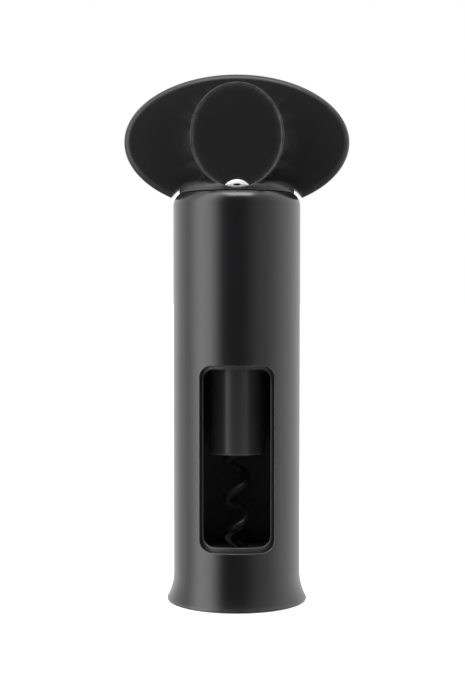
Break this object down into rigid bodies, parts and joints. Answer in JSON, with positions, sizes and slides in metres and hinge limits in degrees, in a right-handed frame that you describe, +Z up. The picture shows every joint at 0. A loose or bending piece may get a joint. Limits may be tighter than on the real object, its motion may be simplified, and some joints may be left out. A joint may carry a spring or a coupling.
{
  "type": "cylinder corkscrew",
  "caption": "Hand-turned cylinder corkscrew: a flared tube sits over the bottle's neck, and an oval wing handle turns and lifts a coiled worm seen through a tall window.",
  "frame": {"origin": "centre of the foot's underside, on the spindle's axis, with the handle pushed fully down", "axes": "+Z up along the spindle to the handle, +X to the right along the handle's wings, the window faces -Y"},
  "size_m": [0.0744, 0.0464, 0.1739],
  "materials": {
    "body_shell": "satin, dark grey",
    "inner_liner": "satin, black",
    "bottle_seat": "satin, black",
    "top_bearing": "as moulded, black",
    "spindle_bush": "machined",
    "bearing_screws": "zinc plated",
    "guide_keys": "satin, black",
    "stop_ring": "soft black rubber",
    "guide_sleeve": "satin, dark grey",
    "carrier_disc": "as moulded, dark grey",
    "thrust_washer": "lapped",
    "lower_bush": "machined",
    "sleeve_plug": "as moulded, black",
    "handle_grip": "satin, dark grey",
    "front_cover": "satin, dark grey",
    "rear_cover": "satin, dark grey",
    "cross_key": "polished",
    "spindle": "ground",
    "spindle_washer": "zinc plated",
    "spindle_nut": "zinc plated",
    "spindle_clip": "blued spring steel",
    "worm": "dark non-stick coating on steel",
    "worm_pin": "ground"
  },
  "bodies": {
    "body": {"body_shell": "body_shell", "inner_liner": "inner_liner", "bottle_seat": "bottle_seat", "top_bearing": "top_bearing", "spindle_bush": "spindle_bush", "bearing_screws": "bearing_screws", "guide_keys": "guide_keys", "stop_ring": "stop_ring"},
    "carriage": {"guide_sleeve": "guide_sleeve", "carrier_disc": "carrier_disc", "thrust_washer": "thrust_washer", "lower_bush": "lower_bush", "sleeve_plug": "sleeve_plug"},
    "handle": {"handle_grip": "handle_grip", "front_cover": "front_cover", "rear_cover": "rear_cover", "cross_key": "cross_key", "spindle": "spindle", "spindle_washer": "spindle_washer", "spindle_nut": "spindle_nut", "spindle_clip": "spindle_clip", "worm": "worm", "worm_pin": "worm_pin"}
  },
  "joints": [
    {"name": "handle_lift", "type": "slide", "parent": "body", "child": "carriage", "axis": [0, 0, 1], "range_m": [0, 0.0353]},
    {"name": "handle_turn", "type": "hinge", "parent": "carriage", "child": "handle", "pos_m": [0, 0, 0.1], "axis": [0, 0, 1], "continuous": true}
  ]
}
